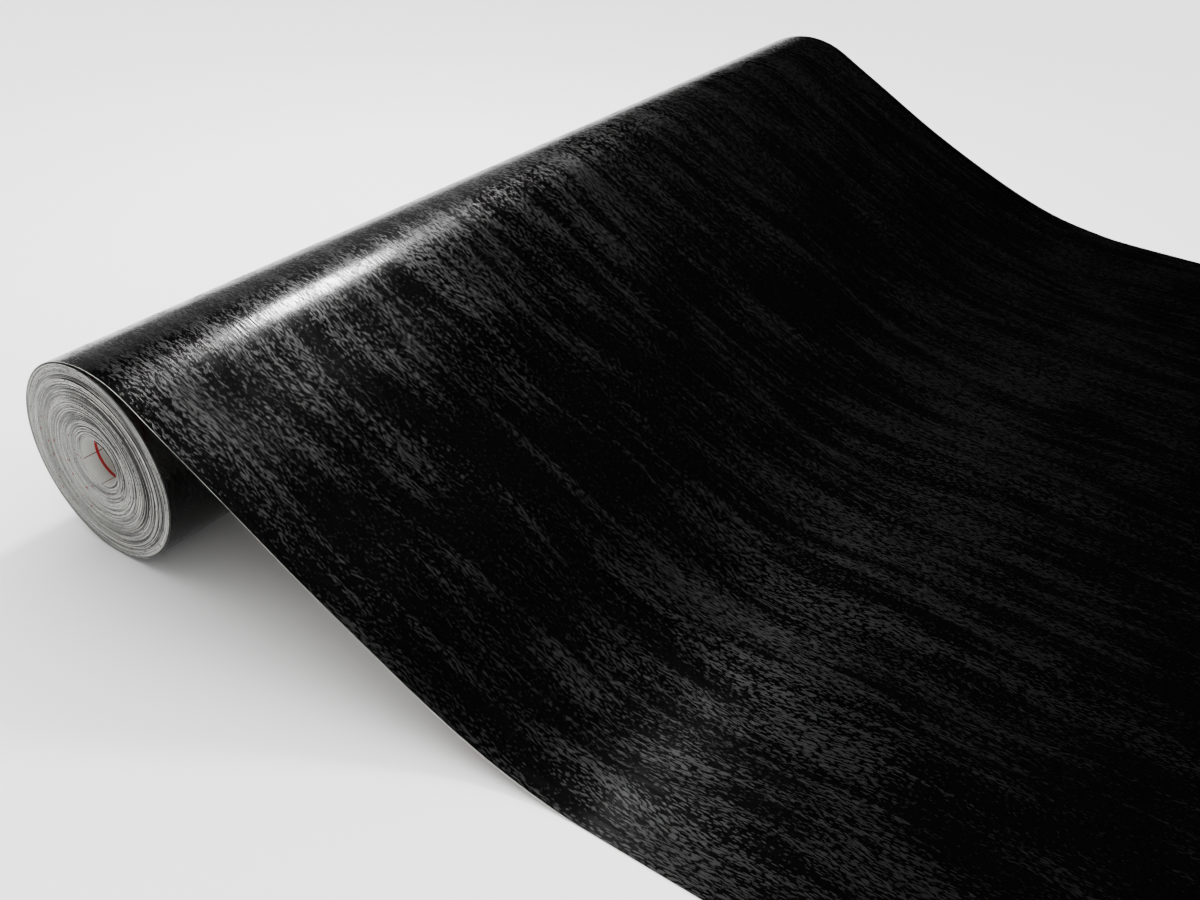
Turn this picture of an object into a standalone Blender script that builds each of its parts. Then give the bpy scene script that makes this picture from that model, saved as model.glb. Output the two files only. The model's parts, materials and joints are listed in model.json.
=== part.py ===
"""A coreless roll of self-adhesive wood-grain film, its outer end paid out over the surface it lies on.

Metres, +Z up. X runs along the roll's axis, and the paid-out sheet goes towards -Y. The origin is on the
supporting surface, under the middle of the whole object's box.

The strip is three layers: an embossed PVC film, an adhesive coat and a paper release liner. Each layer is
divided into solids where the strip moves: the core turns, the wound pack, the outer wrap with the sheet
that leaves it, the leading sheet that lifts, and the film flap that peels off its liner.
"""

import math

import bmesh
import bpy

# The roll
FILM_WIDTH = 0.450
ROLL_RADIUS = 0.0329
BORE_RADIUS = 0.0077

# The laminate's layers, from the liner's back outwards
LAYERS = ("liner", "adhesive", "film")

# The laminate where it is single: each layer's thickness, and the gap kept between neighbouring solids
SHEET_THICKNESSES = (0.0002, 0.0001, 0.0002)
GAP = 0.0003
STACK = sum(SHEET_THICKNESSES) + 2 * GAP

# The wound turns, each for about seventeen real ones, which start where their heavier side hangs lowest
TURNS = 6
CORE_TURNS = 2
PACK_CLEARANCE = 0.0004
PACK_RADIUS = ROLL_RADIUS - 2 * STACK - GAP - PACK_CLEARANCE
PITCH = (PACK_RADIUS - BORE_RADIUS + GAP) / (TURNS + 1)
TURN_SOLID = PITCH - 3 * GAP
TURN_SHARES = (0.45, 0.10, 0.45)
TURN_THICKNESSES = tuple(share * TURN_SOLID for share in TURN_SHARES)
SPIRAL_START = math.radians(-90)

# The outer wrap's inner end, which is tucked under the sheet that leaves the roll over this share of a turn
TUCK_SHARE = 0.22

# The sheet that leaves the roll, all measured on the liner's back
LEAVING_ANGLE = math.radians(10)
LEAVING_HANDLE = 1.34 * ROLL_RADIUS
LANDING_HANDLE = 1.93 * ROLL_RADIUS
LANDING_DISTANCE = 5.56 * ROLL_RADIUS
LIFT_DISTANCE = 0.235
PEEL_DISTANCE = 0.295
SHEET_END_DISTANCE = 0.355

# The joints
PEEL_BEND_RADIUS = 0.006

# How finely the curves are divided
SEGMENTS_PER_TURN = 30
WRAP_SEGMENTS = 72
SPAN_SEGMENTS = 24
SHARP_ANGLE = math.radians(35)

# How large the pivots are drawn
PIVOT_SIZE = 0.02

# The whole object is centred on the origin
ROLL_Y = (SHEET_END_DISTANCE - ROLL_RADIUS) / 2
ROLL_AXIS = (0.0, ROLL_Y, ROLL_RADIUS)

BLACK_FILM = ((0.012, 0.012, 0.013, 1.0), 0.33)
CLEAR_ADHESIVE = ((0.42, 0.41, 0.37, 1.0), 0.20)
WHITE_LINER = ((0.80, 0.80, 0.76, 1.0), 0.55)


def clear_scene():
    for item in list(bpy.data.objects):
        bpy.data.objects.remove(item, do_unlink=True)


def make_collection(name):
    collection = bpy.data.collections.new(name)
    bpy.context.scene.collection.children.link(collection)
    return collection


def make_material(name, finish):
    """A plain Principled material from a (colour, roughness) pair."""
    colour, roughness = finish
    material = bpy.data.materials.new(name)
    material.use_nodes = True
    shader = material.node_tree.nodes["Principled BSDF"]
    shader.inputs["Base Color"].default_value = colour
    shader.inputs["Roughness"].default_value = roughness
    shader.inputs["Metallic"].default_value = 0.0
    material.diffuse_color = colour
    return material


def make_pivot(name, collection, place, parent=None):
    """An empty on a joint's axis, which carries the pieces that the joint moves."""
    pivot = bpy.data.objects.new(name, None)
    pivot.empty_display_size = PIVOT_SIZE
    collection.objects.link(pivot)
    pivot.parent = parent
    start = parent.matrix_world.translation if parent else (0.0, 0.0, 0.0)
    pivot.location = [a - b for a, b in zip(place, start)]
    bpy.context.view_layer.update()
    return pivot


def along_spiral(first_turn, last_turn):
    """Points and normals on the liner's back of the wound turns, counted outwards from the bore.

    The angle is measured from straight up, towards the sheet. Each end stops half a gap short.
    """
    steps = round((last_turn - first_turn) * SEGMENTS_PER_TURN)
    for step in range(steps + 1):
        turn = first_turn + (last_turn - first_turn) * step / steps
        radius = BORE_RADIUS + PITCH * turn
        trim = GAP / 2 / radius * (1 - 2 * step / steps)
        angle = SPIRAL_START + math.tau * turn + trim
        out = (-math.sin(angle), math.cos(angle))
        yield (ROLL_Y + radius * out[0], ROLL_RADIUS + radius * out[1]), out


def along_wrap():
    """The single turn round the wound pack, which ends where the sheet leaves the roll."""
    for step in range(WRAP_SEGMENTS + 1):
        share = step / WRAP_SEGMENTS
        tuck = max(0.0, 1 - share / TUCK_SHARE)
        radius = ROLL_RADIUS - STACK - (STACK + GAP) * tuck**2 * (3 - 2 * tuck)
        trim = GAP / 2 / ROLL_RADIUS * share
        angle = LEAVING_ANGLE - math.tau * (1 - share) - trim
        out = (-math.sin(angle), math.cos(angle))
        yield (ROLL_Y + radius * out[0], ROLL_RADIUS + radius * out[1]), out


def along_span():
    """The free span and the run to the lift.

    The span is one Bezier curve, which leaves the roll at a tangent and lands flat.
    """
    radius = ROLL_RADIUS - STACK
    sine = math.sin(LEAVING_ANGLE)
    cosine = math.cos(LEAVING_ANGLE)
    leave = (ROLL_Y - radius * sine, ROLL_RADIUS + radius * cosine)
    reach = (leave[0] - LEAVING_HANDLE * cosine, leave[1] - LEAVING_HANDLE * sine)
    land = (ROLL_Y - LANDING_DISTANCE, 0.0)
    settle = (land[0] + LANDING_HANDLE, 0.0)
    corners = (leave, reach, settle, land)
    first = GAP / 2 / (3 * LEAVING_HANDLE)
    for step in range(SPAN_SEGMENTS + 1):
        t = first + (1 - first) * step / SPAN_SEGMENTS
        weights = ((1 - t) ** 3, 3 * (1 - t) ** 2 * t, 3 * (1 - t) * t**2, t**3)
        slopes = (-((1 - t) ** 2), (1 - t) ** 2 - 2 * (1 - t) * t, 2 * (1 - t) * t - t**2, t**2)
        point = [sum(w * c[i] for w, c in zip(weights, corners)) for i in range(2)]
        along = [sum(w * c[i] for w, c in zip(slopes, corners)) for i in range(2)]
        length = math.hypot(*along)
        yield tuple(point), (along[1] / length, -along[0] / length)
    yield (ROLL_Y - LIFT_DISTANCE + STACK / 2, 0.0), (0.0, 1.0)


def along_floor(start, end):
    """A flat run of the sheet between two distances from the roll's axis."""
    for distance in (start, end):
        yield (ROLL_Y - distance, 0.0), (0.0, 1.0)


def make_layer(name, collection, path, height, thickness, material, pivot=None):
    """One layer of the strip: a path drawn across the film's width, then given its thickness."""
    centre = pivot.matrix_world.translation if pivot else (0.0, 0.0, 0.0)
    mesh = bpy.data.meshes.new(name)
    edit = bmesh.new()
    near_edge = []
    for (y, z), (out_y, out_z) in path:
        place = (-FILM_WIDTH / 2, y + height * out_y, z + height * out_z)
        near_edge.append(edit.verts.new([a - b for a, b in zip(place, centre)]))
    lines = [edit.edges.new(pair) for pair in zip(near_edge, near_edge[1:])]
    drawn = bmesh.ops.extrude_edge_only(edit, edges=lines)["geom"]
    far_edge = [item for item in drawn if isinstance(item, bmesh.types.BMVert)]
    bmesh.ops.translate(edit, verts=far_edge, vec=(FILM_WIDTH, 0.0, 0.0))
    bmesh.ops.reverse_faces(edit, faces=edit.faces)
    edit.to_mesh(mesh)
    edit.free()
    mesh.materials.append(material)
    mesh.shade_smooth()
    mesh.set_sharp_from_angle(angle=SHARP_ANGLE)

    layer = bpy.data.objects.new(name, mesh)
    collection.objects.link(layer)
    layer.parent = pivot
    solid = layer.modifiers.new("Thickness", "SOLIDIFY")
    solid.thickness = thickness
    solid.offset = 1.0
    solid.use_even_offset = True
    return layer


def make_laminate(place, collection, path, materials, pivot=None, wound=False, parts=LAYERS):
    """The strip's layers over one stretch, from the liner's back to the film's face."""
    thicknesses = TURN_THICKNESSES if wound else SHEET_THICKNESSES
    stations = list(path)
    height = 0.0
    for part, thickness in zip(LAYERS, thicknesses):
        if part in parts:
            make_layer(f"{part}_{place}", collection, stations, height, thickness, materials[part], pivot)
        height += thickness + GAP


def build():
    clear_scene()
    collection = make_collection("sign_vinyl_roll")
    materials = {
        "liner": make_material("release_liner", WHITE_LINER),
        "adhesive": make_material("adhesive", CLEAR_ADHESIVE),
        "film": make_material("film", BLACK_FILM),
    }

    roll_axis = make_pivot("roll_axis", collection, ROLL_AXIS)
    core_slide = make_pivot("core_slide", collection, ROLL_AXIS, roll_axis)
    lift_line = make_pivot("lift_line", collection, (0.0, ROLL_Y - LIFT_DISTANCE, STACK / 2))
    peel_place = (0.0, ROLL_Y - PEEL_DISTANCE, STACK + PEEL_BEND_RADIUS)
    peel_line = make_pivot("peel_line", collection, peel_place, lift_line)

    make_laminate("core_turns", collection, along_spiral(0, CORE_TURNS), materials, core_slide, wound=True)
    make_laminate("wound_pack", collection, along_spiral(CORE_TURNS, TURNS), materials, roll_axis, wound=True)
    make_laminate("outer_wrap", collection, along_wrap(), materials)
    make_laminate("paid_out", collection, along_span(), materials)

    lift_start = LIFT_DISTANCE + STACK / 2
    before_peel = along_floor(lift_start, PEEL_DISTANCE - GAP / 2)
    after_peel = along_floor(PEEL_DISTANCE + GAP / 2, SHEET_END_DISTANCE)
    whole_lead = along_floor(lift_start, SHEET_END_DISTANCE)
    make_laminate("lead", collection, before_peel, materials, lift_line, parts=("adhesive", "film"))
    make_laminate("lead", collection, whole_lead, materials, lift_line, parts=("liner",))
    make_laminate("flap", collection, after_peel, materials, peel_line, parts=("adhesive", "film"))


build()
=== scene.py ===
"""The looks of a coreless roll of black wood-grain film, with its outer end paid out on its printed liner.

Every layer is one long strip: a path in the plane across the roll's axis, drawn across the film's width.
Places come from the frame's joints and nodes; metres, in the frame's own axes.
"""

import json
import math

import bpy
import numpy as np
from mathutils import Matrix, Vector


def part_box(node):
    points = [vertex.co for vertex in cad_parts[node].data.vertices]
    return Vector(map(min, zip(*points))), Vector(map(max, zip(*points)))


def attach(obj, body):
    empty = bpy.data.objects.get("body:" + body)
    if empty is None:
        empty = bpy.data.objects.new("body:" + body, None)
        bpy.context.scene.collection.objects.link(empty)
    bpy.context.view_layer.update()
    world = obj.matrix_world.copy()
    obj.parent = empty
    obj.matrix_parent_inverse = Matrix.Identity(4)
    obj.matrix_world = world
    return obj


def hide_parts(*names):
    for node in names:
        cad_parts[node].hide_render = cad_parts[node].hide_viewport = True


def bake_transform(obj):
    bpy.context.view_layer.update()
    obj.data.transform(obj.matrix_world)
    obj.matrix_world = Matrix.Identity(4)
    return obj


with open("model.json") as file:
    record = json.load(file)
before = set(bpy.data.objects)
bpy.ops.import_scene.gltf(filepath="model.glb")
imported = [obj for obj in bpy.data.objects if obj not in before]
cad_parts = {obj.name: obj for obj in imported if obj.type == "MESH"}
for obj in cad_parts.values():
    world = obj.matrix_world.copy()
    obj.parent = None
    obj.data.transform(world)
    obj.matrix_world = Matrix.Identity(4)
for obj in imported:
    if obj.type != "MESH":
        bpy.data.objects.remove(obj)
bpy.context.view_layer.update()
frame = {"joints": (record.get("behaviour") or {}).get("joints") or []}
JOINTS = {joint["name"]: joint for joint in frame["joints"]}

# Places taken from the frame
ROLL_Y, RADIUS = JOINTS["roll_turn"]["pos_m"][1:]
LIFT_Y = JOINTS["lead_lift"]["pos_m"][1]
PEEL_Y = JOINTS["film_peel"]["pos_m"][1]
NEAR_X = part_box("film_paid_out")[0].x
FAR_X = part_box("film_paid_out")[1].x
END_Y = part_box("liner_lead")[0].y
WIDTH = FAR_X - NEAR_X
MM = 0.001

# The real laminate, from the liner's printed back to the film's face
LINER = 0.085 * MM
ADHESIVE = 0.015 * MM
FILM = 0.085 * MM
LAMINATE = LINER + ADHESIVE + FILM
LAYERS = {"liner": (0.0, LINER), "adhesive": (LINER, LINER + ADHESIVE), "film": (LINER + ADHESIVE, LAMINATE)}

# The wound turns: a loose heart round the bore, then turns that touch but for a little slack
BORE_RADIUS = 7.7 * MM
LOOSE_TURNS = 22
LOOSE_SLACK = 2.9 * MM
TIGHT_GAP = 0.022 * MM
WRAP_GAP = 0.02 * MM
PACK_CLEARANCE = 0.12 * MM
PACK_RADIUS = RADIUS - 2 * LAMINATE - PACK_CLEARANCE
CORE_RADIUS = 14.1 * MM
LEAVING_ANGLE = math.radians(10)

# The bore lies off the roll's axis, and the slack of the outer turns gathers on one side
BORE_OFFSET = 1.3 * MM
OFFSET_WAY = math.radians(62)
SLACK_WAY = math.radians(135)

# How slack is shared out between turns: each has its own share, and some lie open and others nearly shut
SLACK_SPREAD = (0.3, 1.7)
OPEN_CHANCE = 0.45
SHUT_SLACK = 0.1
SHUT_SLACK_GATHERED = 0.04

# The heart's slack by turn, on the side that the bore is away from and on the side that it is near
FAR_SIDE_SLACK = ((0, 6, 24, 34), (0.5, 1.0, 1.0, 0.0))
NEAR_SIDE_SLACK = ((0, 12, 17), (1.0, 1.0, 0.0))

# Bands with more slack: from and to, as shares of the roll's radius, and how much more
GATHERED_BANDS = ((0.56, 0.70, 14.0), (0.76, 0.82, 5.0))

# The loose turns wave in and out, this many times in a turn, by so many millimetres
WAVES = (5, 8, 13)
WAVE_DRIFT = 0.09
WAVE_FALL = 0.6
LEAST_WAVE = 0.01
SLACK_WAVE = 0.07
WAVES_FADE = (LOOSE_TURNS - 6, LOOSE_TURNS + 3)

# How far single turns' edges stand out or in: a slow walk, a jitter, some turns set back, and a tilt
EDGE_WALK = 0.04 * MM
EDGE_JITTER = 0.07 * MM
SET_BACK_CHANCE = 0.22
SET_BACK = 0.28 * MM
EDGE_TILT = 0.04 * MM
TILT_DRIFT = 0.4

# The end faces' relief in millimetres, by shares of the radius: a step out, a step in, ridges and an even rim
STEP_OUT, STEP_OUT_FROM = 0.25, (0.42, 0.50)
STEP_IN, STEP_IN_FROM = 0.35, (0.62, 0.66)
RIDGES, RIDGE_HEIGHT, RIDGE_WIDTH = (0.70, 0.84), 0.40, 0.006
RIM_FROM = (0.88, 0.96)
RIM_CALM, RIM_CALM_FROM = 0.5, 0.9

# The free span: one Bezier curve that leaves the roll at a tangent and lands flat
LEAVING_HANDLE = 1.34 * RADIUS
LANDING_HANDLE = 1.93 * RADIUS
LANDING_DISTANCE = 5.56 * RADIUS
WEB_END_Y = (LIFT_Y + PEEL_Y) / 2

# How the paid-out sheet sways off that curve: (height, distance past the roll, reach), all in millimetres
BULGE = (1.9, 9, 15)
NEAR_SWAY = (0.9, 115, 25)
FAR_SWAYS = ((0.6, 175, 14), (-1.2, 72, 35))

# How far the liner's edges stand outside the film's on the sheet, and inside them on the outer wrap
LINER_MARGIN = 0.05 * MM
LINER_INSET = 0.3 * MM

# How finely the strip is divided
STEPS_PER_TURN = 96
SPAN_STEPS = 100
RUN_STEPS = 40
LEAD_STEPS = 60
SHEET_COLUMNS = 45
SHARP_ANGLE = math.radians(50)

# The film's emboss, in millimetres across the width and along the strip
WANDER = 16.0
SWELL_PITCH = 205
PORE_SIZE = (0.46, 2.8)
PORE_SEEDS = (9.2, 31.7)
PORE_ROUGHNESS = 0.48
LINE_SIZE = (0.5, 14)
BLACK = (0.0006, 0.0006, 0.0006, 1)

# The cut edges: the size of their light and dark arcs, in turns from the bore and in turns round the axis
ARC_SIZE = (2.4, 0.16)
ARC_SEED = 6.6

# The printed grid on the liner's back, in millimetres
GRID_STARTS = (5.0, 5.1)
THIN_PITCH, THIN_WIDTH = 10.0, 0.30
THICK_PITCH, THICK_WIDTH = 50.0, 0.9

# The floor, the light and the camera, which was fitted to the roll's outline
FLOOR_SIZE = 12
FLOOR_DROP = 0.02 * MM
DOME_BRIGHT = 5.0
DOME_DIM = 0.3
DOME_SLOPE = (-0.6, 0.4)
DOME_SEEN = 0.7
KEY_WAY = (0.595, 0.304, 0.738)
KEY_TARGET = (-0.15, 0.145, 0.063)
KEY_DISTANCE = 0.42
KEY_SIZE = (0.055, 0.075)
KEY_POWER = 3.2
PANEL_WAYS = ((0.45, -0.85, 0.3), (-0.9, -0.5, 0.35), (-0.7, 0.7, 0.35), (0.3, 0.95, 0.3))
PANEL_DISTANCE = 1.6
PANEL_SIZE = (1.6, 1.1)
PANEL_POWER = 1.7
LENS = 37.3
SENSOR_WIDTH = 36.0
NEAREST_SEEN = 0.01
CAMERA_PLACE = (-0.3929, ROLL_Y - 0.2935, 0.2471)
CAMERA_RIGHT = (0.57614, -0.81664, 0.03398)
CAMERA_UP = (0.43716, 0.34301, 0.83140)

SEED = 7


# ---------------------------------------------------------------- the strip's path


def arc(angle, radius):
    """Points on the roll, the angle counted from straight up towards the sheet, and their outward normals."""
    out = np.stack([-np.sin(angle), np.cos(angle)], axis=-1)
    points = out * np.asarray(radius)[..., None] + np.array([ROLL_Y, RADIUS])
    return points, out


def normals_of(points):
    along = np.gradient(points, axis=0)
    along /= np.linalg.norm(along, axis=1)[:, None]
    return np.stack([along[:, 1], -along[:, 0]], axis=1)


def lengths_of(points):
    steps = np.linalg.norm(np.diff(points, axis=0), axis=1)
    return np.concatenate([[0.0], np.cumsum(steps)])


def smooth_step(value, low, high):
    share = np.clip((np.asarray(value, float) - low) / (high - low), 0, 1)
    return share * share * (3 - 2 * share)


def running_total(gaps, total):
    """How much slack lies inside each turn, when all the gaps together come to `total`."""
    gaps = np.asarray(gaps, float)
    return np.concatenate([[0.0], np.cumsum(gaps)]) * total / gaps.sum()


class Winding:
    """The spiral's radius, slack, waves and edges at any turn, counted outwards from the bore.

    Slack only ever adds up outwards, at every angle, so no turn crosses its neighbour.
    """

    def __init__(self):
        random = np.random.default_rng(SEED)
        room = PACK_RADIUS - LAMINATE - BORE_RADIUS
        self.turns = int((room - LOOSE_SLACK) / (LAMINATE + TIGHT_GAP))
        self.knots = np.arange(self.turns + 1)
        turn = np.arange(self.turns)
        heart = LOOSE_SLACK * np.clip(turn / LOOSE_TURNS, 0, 1)
        share = (BORE_RADIUS + heart + turn * (room - LOOSE_SLACK) / self.turns) / RADIUS
        self.share_slack(random, turn, share, room - LOOSE_SLACK - self.turns * LAMINATE)
        self.set_edges(random, np.append(share, 1.0))
        radius = BORE_RADIUS + LAMINATE * self.knots + (self.far_side + self.near_side) / 2 + self.even
        self.core_turn = float(np.interp(CORE_RADIUS, radius, self.knots))

    def share_slack(self, random, turn, share, tight):
        """The slack inside each turn: the heart's on either side of it, and the rest, even or gathered."""
        spread = random.uniform(*SLACK_SPREAD, self.turns)
        open_turn = random.random(self.turns) < OPEN_CHANCE
        open_turn[:2] = True
        far_side = spread * np.interp(turn, *FAR_SIDE_SLACK)
        near_side = spread * open_turn * np.interp(turn, *NEAR_SIDE_SLACK)
        self.far_side = running_total(far_side, LOOSE_SLACK + BORE_OFFSET)
        self.near_side = running_total(near_side, LOOSE_SLACK - BORE_OFFSET)
        bands = 1.0 + sum(more * ((low < share) & (share < high)) for low, high, more in GATHERED_BANDS)
        self.even = running_total(spread * (open_turn + SHUT_SLACK), tight)
        self.gathered = running_total(spread * bands * (open_turn + SHUT_SLACK_GATHERED), tight)

    def set_edges(self, random, share):
        """How far each turn's near and far edge stand off the film's, along X."""
        inwards = np.array([[1.0], [-1.0]])
        walk = np.cumsum(random.normal(0, EDGE_WALK, (2, self.turns + 1)), axis=1)
        walk -= np.linspace(0, 1, self.turns + 1) * walk[:, -1:]
        jitter = random.normal(0, EDGE_JITTER, walk.shape)
        jitter += SET_BACK * np.append(random.random(self.turns) < SET_BACK_CHANCE, False) * inwards
        inset = STEP_IN * smooth_step(share, *STEP_IN_FROM) - STEP_OUT * smooth_step(share, *STEP_OUT_FROM)
        for ridge in RIDGES:
            inset -= RIDGE_HEIGHT * np.exp(-(((share - ridge) / RIDGE_WIDTH) ** 2))
        inset *= 1 - smooth_step(share, *RIM_FROM)
        self.edges = walk + jitter * (1 - RIM_CALM * (share > RIM_CALM_FROM)) + inset * MM * inwards

    def at(self, turn):
        """(angle, radius) of the liner's back."""
        angle = LEAVING_ANGLE + math.tau * (turn - self.turns)

        def inside(totals):
            return np.interp(turn, self.knots, totals)

        offset = np.cos(angle - OFFSET_WAY)
        near = (1 + offset) / 2
        heart = (1 - near) * inside(self.far_side) + near * inside(self.near_side)
        slack_side = (0.5 + 0.5 * np.cos(angle - SLACK_WAY)) ** 2
        outer = (1 - slack_side) * inside(self.even) + slack_side * inside(self.gathered)
        radius = BORE_RADIUS + BORE_OFFSET * offset + LAMINATE * turn + heart + outer
        loose = 1 - smooth_step(turn, *WAVES_FADE)
        waves = sum(np.sin(k * angle + WAVE_DRIFT * k * turn + k) / k**WAVE_FALL for k in WAVES)
        return angle, radius + loose * (LEAST_WAVE + SLACK_WAVE * slack_side) * waves * MM

    def stations(self, first, last):
        turn = np.linspace(first, last, int((last - first) * STEPS_PER_TURN) + 1)
        angle, radius = self.at(turn)
        points, out = arc(angle, radius)
        tilt = EDGE_TILT * np.sin(angle + turn * TILT_DRIFT)
        near = NEAR_X + np.interp(turn, self.knots, self.edges[0]) + tilt
        far = FAR_X + np.interp(turn, self.knots, self.edges[1]) - tilt
        wound = np.stack([turn, angle / math.tau], axis=1)
        length = lengths_of(points)
        return {"points": points, "out": out, "near": near, "far": far, "length": length, "wound": wound}


def span_from(leave):
    """The free span, from just past the point where the sheet leaves the roll to where it lands."""
    sine, cosine = math.sin(LEAVING_ANGLE), math.cos(LEAVING_ANGLE)
    reach = leave - LEAVING_HANDLE * np.array([cosine, sine])
    land = np.array([ROLL_Y - LANDING_DISTANCE, 0.0])
    settle = land + np.array([LANDING_HANDLE, 0.0])
    t = np.linspace(0, 1, SPAN_STEPS + 1)[1:, None]
    return (1 - t) ** 3 * leave + 3 * (1 - t) ** 2 * t * reach + 3 * (1 - t) * t**2 * settle + t**3 * land


def web_path():
    """The outer wrap, the free span and the run on the floor up to the middle of the lead."""
    share = np.linspace(0, 1, 2 * STEPS_PER_TURN + 1)
    angle = LEAVING_ANGLE - math.tau * (1 - share)
    radius = RADIUS - LAMINATE - (LAMINATE + WRAP_GAP) * (1 - share)
    wrap, wrap_out = arc(angle, radius)
    span = span_from(wrap[-1])
    floor_y = np.linspace(span[-1, 0], WEB_END_Y, RUN_STEPS + 1)[1:]
    floor = np.stack([floor_y, np.zeros_like(floor_y)], axis=1)
    points = np.concatenate([wrap, span, floor])
    out = normals_of(points)
    out[: len(wrap)] = wrap_out
    lengths = lengths_of(points)
    return points, out, lengths, lengths[len(wrap) - 1]


def lead_path(length_from):
    """The flat run from the middle of the lead to the cut end."""
    y = np.linspace(WEB_END_Y, END_Y, LEAD_STEPS + 1)
    points = np.stack([y, np.zeros_like(y)], axis=1)
    return points, np.tile([0.0, 1.0], (len(y), 1)), length_from + lengths_of(points)


def laid_stations(points, out, lengths):
    """A path's stations where the strip is single and its edges are straight."""
    near = np.full(len(points), NEAR_X)
    far = near + WIDTH
    wound = np.stack([lengths, lengths], axis=1) / (math.tau * RADIUS)
    return {"points": points, "out": out, "near": near, "far": far, "length": lengths, "wound": wound}


*WEB_PATH, WEB_LEAVES = web_path()


# ---------------------------------------------------------------- meshes


def strip_places(stations, low, high, columns, lift):
    """Every vertex of the strip, by side (under, over), station and column."""
    points, out = stations["points"], stations["out"]
    share = np.linspace(0, 1, columns + 1)
    x = stations["near"][:, None] * (1 - share) + stations["far"][:, None] * share
    place = np.zeros((2, len(points), columns + 1, 3))
    for side, height in enumerate((low, high)):
        place[side, :, :, 0] = x
        place[side, :, :, 1:] = (points + out * height)[:, None]
    if lift is not None:
        raised = lift(share[None, :], stations["length"][:, None])
        place[..., 1:] += raised[None, ..., None] * out[None, :, None]
        place[..., 2] = np.maximum(place[..., 2], np.array([low, high])[:, None, None])
    return place


def strip_faces(rows, columns):
    """The closed strip's faces, and each one's material slot: 0 over, 1 under, 2 the cut edges."""
    under, over = np.arange(2 * rows * (columns + 1)).reshape(2, rows, columns + 1)

    def grid(*corners):
        return np.stack([corner.ravel() for corner in corners], axis=1)

    faces = [
        grid(over[:-1, :-1], over[:-1, 1:], over[1:, 1:], over[1:, :-1]),
        grid(under[:-1, :-1], under[1:, :-1], under[1:, 1:], under[:-1, 1:]),
        grid(under[:-1, 0], over[:-1, 0], over[1:, 0], under[1:, 0]),
        grid(under[:-1, -1], under[1:, -1], over[1:, -1], over[:-1, -1]),
        grid(under[0, :-1], under[0, 1:], over[0, 1:], over[0, :-1]),
        grid(under[-1, :-1], over[-1, :-1], over[-1, 1:], under[-1, 1:]),
    ]
    slots = np.concatenate([np.full(len(f), slot) for f, slot in zip(faces, (0, 1, 2, 2, 2, 2))])
    return np.concatenate(faces), slots


def layer_mesh(name, stations, low, high, columns, materials, lift=None):
    """A closed strip between two heights over the path.

    It has two sets of UVs. "strip" is metres across the width and along the strip. "wound" is the turn, and
    how many turns round the roll's axis it has gone.
    """
    place = strip_places(stations, low, high, columns, lift)
    faces, slots = strip_faces(place.shape[1], columns)
    mesh = bpy.data.meshes.new(name)
    mesh.vertices.add(place.size // 3)
    mesh.vertices.foreach_set("co", place.ravel())
    mesh.loops.add(faces.size)
    mesh.loops.foreach_set("vertex_index", faces.ravel())
    mesh.polygons.add(len(faces))
    mesh.polygons.foreach_set("loop_start", np.arange(0, faces.size, 4))
    for material in materials:
        mesh.materials.append(material)
    mesh.polygons.foreach_set("material_index", slots)
    mesh.update(calc_edges=True)

    along = np.broadcast_to(stations["length"][None, :, None], place.shape[:3])
    strip = np.stack([(place[..., 0] - NEAR_X).ravel(), along.ravel()], axis=1)
    wound = np.broadcast_to(stations["wound"][None, :, None], (*place.shape[:3], 2)).reshape(-1, 2)
    for uv_name, uv in (("strip", strip), ("wound", wound)):
        mesh.uv_layers.new(name=uv_name).data.foreach_set("uv", uv[faces.ravel()].ravel())
    mesh.validate()
    mesh.shade_smooth()
    mesh.set_sharp_from_angle(angle=SHARP_ANGLE)
    piece = bpy.data.objects.new(name, mesh)
    bpy.context.scene.collection.objects.link(piece)
    return piece


# ---------------------------------------------------------------- materials


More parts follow.
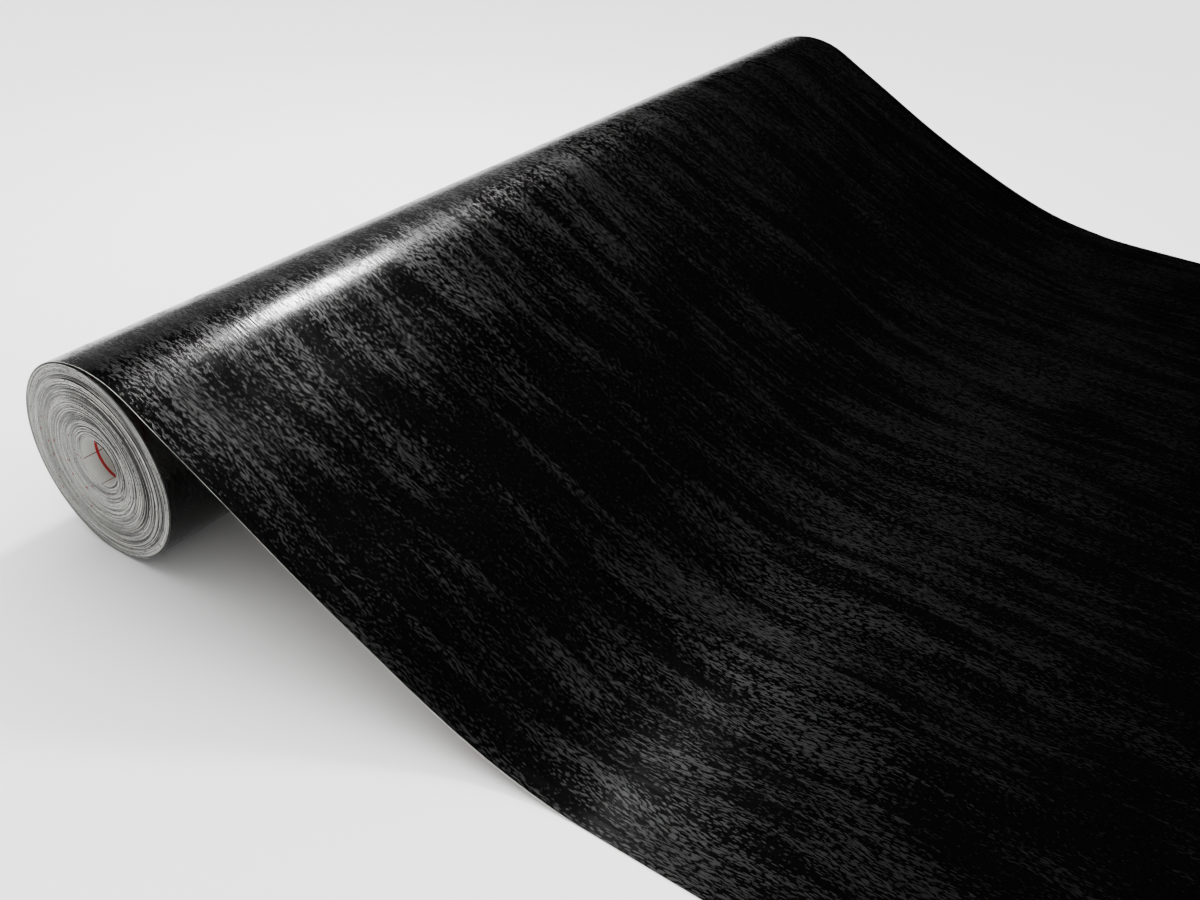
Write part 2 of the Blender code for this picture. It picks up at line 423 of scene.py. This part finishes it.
class Graph:
    """A node material, with short calls for the sums that the patterns need."""

    def __init__(self, name, colour, roughness):
        self.material = bpy.data.materials.new(name)
        self.material.use_nodes = True
        self.nodes = self.material.node_tree.nodes
        self.links = self.material.node_tree.links
        self.shader = self.nodes["Principled BSDF"]
        self.set("Base Color", colour)
        self.set("Roughness", roughness)

    def put(self, socket, value):
        if isinstance(value, bpy.types.NodeSocket):
            self.links.new(value, socket)
        else:
            socket.default_value = value

    def set(self, name, value):
        self.put(self.shader.inputs[name], value)

    def math(self, operation, *values):
        node = self.nodes.new("ShaderNodeMath")
        node.operation = operation
        for socket, value in zip(node.inputs, values):
            self.put(socket, value)
        return node.outputs[0]

    def total(self, *parts):
        """The sum of values, each given with its weight."""
        total, *others = [self.math("MULTIPLY", value, weight) for value, weight in parts]
        for other in others:
            total = self.math("ADD", total, other)
        return total

    def places(self, layer, scale):
        uv = self.nodes.new("ShaderNodeUVMap")
        uv.uv_map = layer
        parts = self.nodes.new("ShaderNodeSeparateXYZ")
        self.links.new(uv.outputs[0], parts.inputs[0])
        return [self.math("MULTIPLY", parts.outputs[i], scale) for i in range(2)]

    def strip(self):
        """Millimetres across the film's width and along the strip."""
        return self.places("strip", 1000.0)

    def wound(self):
        """The turn, counted from the bore, and how many turns round the roll's axis it has gone."""
        return self.places("wound", 1.0)

    def joined(self, *values):
        node = self.nodes.new("ShaderNodeCombineXYZ")
        for socket, value in zip(node.inputs, values):
            self.put(socket, value)
        return node.outputs[0]

    def noise(self, u, v, across, along, detail=0.0, seed=0.0):
        """Noise from 0 to 1 whose grains are about `across` by `along`."""
        place = self.joined(self.math("DIVIDE", u, across), self.math("DIVIDE", v, along), seed)
        node = self.nodes.new("ShaderNodeTexNoise")
        node.inputs["Scale"].default_value = 1.0
        node.inputs["Detail"].default_value = detail
        self.links.new(place, node.inputs["Vector"])
        return node.outputs["Fac"]

    def cells(self, u, v, across, along, seed):
        """Cells about `across` by `along`: how far off each one's middle is, and its random number."""
        u = self.math("ADD", self.math("DIVIDE", u, across), seed)
        v = self.math("ADD", self.math("DIVIDE", v, along), seed)
        node = self.nodes.new("ShaderNodeTexVoronoi")
        node.voronoi_dimensions = "2D"
        node.inputs["Scale"].default_value = 1.0
        self.links.new(self.joined(u, v), node.inputs["Vector"])
        chance = self.nodes.new("ShaderNodeSeparateXYZ")
        self.links.new(node.outputs["Color"], chance.inputs[0])
        return node.outputs["Distance"], chance.outputs[0]

    def ramp(self, value, low, high, to_low=0.0, to_high=1.0):
        node = self.nodes.new("ShaderNodeMapRange")
        node.interpolation_type = "SMOOTHSTEP"
        for name, number in zip(("From Min", "From Max", "To Min", "To Max"), (low, high, to_low, to_high)):
            node.inputs[name].default_value = number
        self.put(node.inputs["Value"], value)
        return node.outputs["Result"]

    def mix(self, factor, first, second):
        node = self.nodes.new("ShaderNodeMix")
        node.data_type = "RGBA"
        self.put(node.inputs["Factor"], factor)
        self.put(node.inputs[6], first)
        self.put(node.inputs[7], second)
        return node.outputs[2]

    def bump(self, height, depth, strength):
        node = self.nodes.new("ShaderNodeBump")
        node.inputs["Strength"].default_value = strength
        node.inputs["Distance"].default_value = depth
        self.put(node.inputs["Height"], height)
        self.set("Normal", node.outputs["Normal"])


def grain_crowd(graph, u, v):
    """How crowded the pores are: fine streaks, wider bands and patches, and a slow swell along the strip."""
    past = graph.math("SUBTRACT", v, WEB_LEAVES / MM)
    return graph.total(
        (graph.noise(u, v, across=1.7, along=34, detail=1.0, seed=1.7), 0.40),
        (graph.noise(u, v, across=6.0, along=65, detail=1.0, seed=7.7), 0.35),
        (graph.noise(u, v, across=12, along=30, seed=5.3), 0.25),
        (graph.math("COSINE", graph.math("MULTIPLY", past, math.tau / SWELL_PITCH)), 0.05),
    )


def grain_pores(graph, u, v):
    """Two scatters of short dashes: where they lie, and the same with each one's own share of roughness."""
    reach = graph.ramp(grain_crowd(graph, u, v), low=0.38, high=0.64, to_low=0.17, to_high=0.52)
    pores, sparkle = 0.0, 0.0
    for seed in PORE_SEEDS:
        middle, chance = graph.cells(u, v, *PORE_SIZE, seed)
        own_reach = graph.math("SUBTRACT", reach, graph.math("MULTIPLY", chance, 0.40))
        dash = graph.ramp(graph.math("SUBTRACT", own_reach, middle), low=-0.02, high=0.06)
        own_share = graph.ramp(chance, low=0, high=1, to_low=0.8, to_high=1.15)
        pores = graph.math("MAXIMUM", pores, dash)
        sparkle = graph.math("MAXIMUM", sparkle, graph.math("MULTIPLY", dash, own_share))
    return pores, sparkle


def film_face():
    """Black PVC embossed with wood grain: short rough pores along the strip, crowded in wandering bands."""
    graph = Graph("film_wood_grain", BLACK, 0.15)
    u, v = graph.strip()
    wander = graph.math("SUBTRACT", graph.noise(u, v, across=30, along=90, detail=1.0, seed=3.1), 0.5)
    u = graph.math("ADD", u, graph.math("MULTIPLY", wander, WANDER))
    pores, sparkle = grain_pores(graph, u, v)
    lines = graph.noise(u, v, *LINE_SIZE, detail=1.0, seed=4.4)
    graph.bump(graph.math("SUBTRACT", graph.math("MULTIPLY", lines, 3.0), pores), 0.03 * MM, 0.5)
    gloss = graph.ramp(lines, low=0.35, high=0.65, to_low=0.14, to_high=0.19)
    more = graph.math("MULTIPLY", sparkle, graph.math("SUBTRACT", PORE_ROUGHNESS, gloss))
    graph.set("Roughness", graph.math("ADD", gloss, more))
    graph.set("Base Color", graph.mix(pores, BLACK, (0.0016, 0.0016, 0.0016, 1)))
    graph.set("Specular IOR Level", 0.3)
    return graph.material


def film_edge():
    """The film's cut edge and its back: black PVC, scuffed grey where the knife went through it."""
    dark, pale = (0.012, 0.012, 0.012, 1), (0.26, 0.26, 0.25, 1)
    graph = Graph("film_cut_edge", (0.05, 0.05, 0.05, 1), 0.6)
    turn, way = graph.wound()
    scuff = graph.noise(turn, way, *ARC_SIZE, detail=1.0, seed=ARC_SEED)
    graph.set("Base Color", graph.mix(graph.ramp(scuff, low=0.43, high=0.62), dark, pale))
    return graph.material


def adhesive_coat():
    dark, pale = (0.20, 0.20, 0.19, 1), (0.30, 0.30, 0.28, 1)
    graph = Graph("adhesive_coat", pale, 0.16)
    u, v = graph.strip()
    peel = graph.noise(u, v, across=1.2, along=2.6, detail=2.0)
    graph.set("Base Color", graph.mix(peel, dark, pale))
    graph.bump(peel, 0.02 * MM, 0.5)
    return graph.material


def paper(name, light, dark, roughness, depth):
    """Paper with fine fibres, the places on it and its colour."""
    graph = Graph(name, light, roughness)
    places = graph.strip()
    fibres = graph.noise(*places, across=0.8, along=0.5, detail=3.0)
    colour = graph.mix(fibres, dark, light)
    graph.set("Base Color", colour)
    graph.bump(fibres, depth, 0.4)
    return graph, places, colour


def liner_face():
    light, dark = (0.80, 0.80, 0.74, 1), (0.74, 0.74, 0.68, 1)
    graph, _, _ = paper("liner_release_side", light, dark, 0.28, 0.01 * MM)
    return graph.material


def liner_edge():
    """The liner's cut edge: cream paper in lighter and darker arcs, with painted shade: dark lines and dark
    specks where gaps between turns would lie in shade.
    """
    dark, pale = (0.16, 0.16, 0.15, 1), (0.80, 0.80, 0.72, 1)
    graph = Graph("liner_cut_edge", (0.5, 0.5, 0.46, 1), 0.85)
    turn, way = graph.wound()
    fine = graph.noise(turn, way, *ARC_SIZE, detail=1.0, seed=ARC_SEED)
    broad = graph.noise(turn, way, across=4.5, along=0.50, seed=8.1)
    tone = graph.total((fine, 0.7), (broad, 0.3))
    plain = graph.mix(graph.ramp(tone, low=0.43, high=0.58), dark, pale)
    # Painted shade: near-black lines painted on the paper edge, standing in for the shade of wider gaps
    # between turns
    gaps = graph.noise(turn, way, across=1.9, along=0.20, detail=1.0, seed=3.9)
    plain = graph.mix(graph.ramp(gaps, low=0.58, high=0.64), plain, (0.03, 0.03, 0.03, 1))
    # Painted shade: short dark dashes along the arcs, standing in for the shade inside narrow gaps between
    # turns
    gap_shade_specks = graph.noise(turn, way, across=1.8, along=0.008, seed=1.3)
    gap_shaded = graph.mix(graph.ramp(gap_shade_specks, low=0.66, high=0.71), plain, (0.02, 0.02, 0.02, 1))
    graph.set("Base Color", gap_shaded)
    return graph.material


def grid_lines(graph, places, pitch, width):
    """1 on the lines of a square grid, and 0 between them."""
    lines = []
    for way, start in zip(places, GRID_STARTS):
        off = graph.math("PINGPONG", graph.math("SUBTRACT", way, start), pitch / 2)
        lines.append(graph.math("LESS_THAN", off, width / 2))
    return graph.math("MAXIMUM", *lines)


def liner_back():
    """White paper with a cutting grid: thin dark red lines, and a thick bright one at every fifth."""
    light, dark = (0.60, 0.61, 0.57, 1), (0.50, 0.51, 0.47, 1)
    graph, places, plain = paper("liner_printed_back", light, dark, 0.55, 0.02 * MM)
    thin = graph.mix(grid_lines(graph, places, THIN_PITCH, THIN_WIDTH), plain, (0.14, 0.010, 0.014, 1))
    thick = graph.mix(grid_lines(graph, places, THICK_PITCH, THICK_WIDTH), thin, (0.42, 0.004, 0.010, 1))
    graph.set("Base Color", thick)
    return graph.material


# ---------------------------------------------------------------- the pieces


def add_piece(name, stations, layer, columns, materials, rides, replaced, lift=None, margin=0.0):
    low, high = LAYERS[layer]
    own = dict(stations)
    own["near"] = own["near"] - margin
    own["far"] = own["far"] + margin
    margin = float(np.mean(margin))
    piece = layer_mesh(name, own, low, high, columns, materials[layer], lift)
    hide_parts(*replaced)
    rides(piece)


def sheet_sway(share, length):
    """How far the sheet stands off its plain curve, along its normal: it bulges as it leaves the roll."""
    past = (length - WEB_LEAVES) / MM

    def swell(height, middle, reach):
        return height * np.exp(-(((past - middle) / reach) ** 2))

    far = sum(swell(*sway) for sway in FAR_SWAYS)
    return (swell(*BULGE) + swell(*NEAR_SWAY) * (1 - share) + far * share) * MM


def liner_margin(length):
    """The liner stands a hair beyond the film on the paid-out sheet, and inside it on the outer wrap."""
    quarter = RADIUS * math.pi / 2
    wrapped = 1 - smooth_step(length, WEB_LEAVES - quarter, WEB_LEAVES)
    return LINER_MARGIN - (LINER_MARGIN + LINER_INSET) * wrapped


def rides_on(body):
    return lambda piece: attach(piece, body)


def bends():
    """The piece stays as built: its place is baked into its mesh, and it rides on no body."""
    return lambda piece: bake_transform(piece)


def add_wound_pieces(layer, core, pack, materials):
    add_piece(f"{layer}_core", core, layer, 1, materials, rides_on("core"), [f"{layer}_core_turns"])
    add_piece(f"{layer}_pack", pack, layer, 1, materials, rides_on("pack"), [f"{layer}_wound_pack"])


def add_laid_pieces(layer, web, lead, materials):
    """The sheet up to the middle of the lead, and the rest of it, where the film peels off its liner."""
    sheet, end, columns = f"{layer}_sheet", f"{layer}_end", SHEET_COLUMNS
    lifts = bends()
    wrapped = [f"{layer}_outer_wrap", f"{layer}_paid_out"]
    margin = liner_margin(web["length"]) if layer == "liner" else 0.0
    add_piece(sheet, web, layer, columns, materials, lifts, wrapped, sheet_sway, margin)
    if layer == "liner":
        rides, margin = rides_on("lead"), LINER_MARGIN
        add_piece(end, lead, layer, columns, materials, rides, ["liner_lead"], margin=margin)
    else:
        peels, peeled = bends(), [f"{layer}_lead", f"{layer}_flap"]
        add_piece(end, lead, layer, columns, materials, peels, peeled)


def add_pieces():
    cut_film = film_edge()
    materials = {
        "film": (film_face(), cut_film, cut_film),
        "adhesive": (adhesive_coat(),) * 3,
        "liner": (liner_face(), liner_back(), liner_edge()),
    }
    winding = Winding()
    core = winding.stations(0, winding.core_turn)
    pack = winding.stations(winding.core_turn, winding.turns)
    pack["length"] = pack["length"] + core["length"][-1]
    web = laid_stations(*WEB_PATH)
    lead = laid_stations(*lead_path(web["length"][-1]))
    for layer in LAYERS:
        add_wound_pieces(layer, core, pack, materials)
        add_laid_pieces(layer, web, lead, materials)


# ---------------------------------------------------------------- floor, light and camera


def add_floor():
    bpy.ops.mesh.primitive_plane_add(size=FLOOR_SIZE, location=(0, 0, -FLOOR_DROP))
    floor = bpy.context.object
    floor.name = "floor"
    graph = Graph("pale_floor", (0.86, 0.86, 0.86, 1), 0.9)
    floor.data.materials.append(graph.material)


def add_area_light(name, direction, distance, size, power, target):
    """A soft panel facing the target, its second size going round the roll's crown."""
    data = bpy.data.lights.new(name, "AREA")
    data.shape = "RECTANGLE"
    data.size, data.size_y = size
    data.energy = power
    light = bpy.data.objects.new(name, data)
    way = Vector(direction).normalized()
    round_crown = Vector((0, -way.z, way.y)).normalized()
    side = round_crown.cross(way).normalized()
    turn = Matrix((side, way.cross(side), way)).transposed()
    light.matrix_world = Matrix.Translation(Vector(target) + way * distance) @ turn.to_4x4()
    light.visible_camera = False
    bpy.context.scene.collection.objects.link(light)


def add_lights():
    """A small key over the crown, and wide dim panels that the film mirrors when seen from other sides."""
    add_area_light("key_softbox", KEY_WAY, KEY_DISTANCE, KEY_SIZE, KEY_POWER, KEY_TARGET)
    for number, way in enumerate(PANEL_WAYS, start=1):
        add_area_light(f"side_panel_{number}", way, PANEL_DISTANCE, PANEL_SIZE, PANEL_POWER, (0, 0, 0))


def add_camera():
    """It looks down along the roll from beyond the near end, on the sheet's side."""
    data = bpy.data.cameras.new("camera")
    data.lens = LENS
    data.sensor_width = SENSOR_WIDTH
    data.clip_start = NEAREST_SEEN
    camera = bpy.data.objects.new("camera", data)
    right = Vector(CAMERA_RIGHT)
    up = Vector(CAMERA_UP)
    turn = Matrix((right, up, right.cross(up))).transposed()
    camera.matrix_world = Matrix.Translation(CAMERA_PLACE) @ turn.to_4x4()
    bpy.context.scene.collection.objects.link(camera)
    bpy.context.scene.camera = camera


def add_world():
    """A soft dome, bright beyond the roll's far end, dim behind the camera and left out of the gloss."""
    world = bpy.data.worlds.new("studio")
    world.use_nodes = True
    nodes, links = world.node_tree.nodes, world.node_tree.links
    place = nodes.new("ShaderNodeTexCoord")
    parts = nodes.new("ShaderNodeSeparateXYZ")
    links.new(place.outputs["Generated"], parts.inputs[0])
    ramp = nodes.new("ShaderNodeMapRange")
    numbers = (*DOME_SLOPE, DOME_DIM, DOME_BRIGHT)
    for name, number in zip(("From Min", "From Max", "To Min", "To Max"), numbers):
        ramp.inputs[name].default_value = number
    links.new(parts.outputs["X"], ramp.inputs["Value"])
    ray = nodes.new("ShaderNodeLightPath")
    seen = nodes.new("ShaderNodeMix")
    links.new(ray.outputs["Is Camera Ray"], seen.inputs["Factor"])
    links.new(ramp.outputs["Result"], seen.inputs["A"])
    seen.inputs["B"].default_value = DOME_BRIGHT * DOME_SEEN
    links.new(seen.outputs["Result"], nodes["Background"].inputs["Strength"])
    nodes["Background"].inputs["Color"].default_value = (1, 1, 1, 1)
    bpy.context.scene.world = world
    world.cycles_visibility.glossy = False


add_pieces()
add_floor()
add_world()
add_lights()
add_camera()
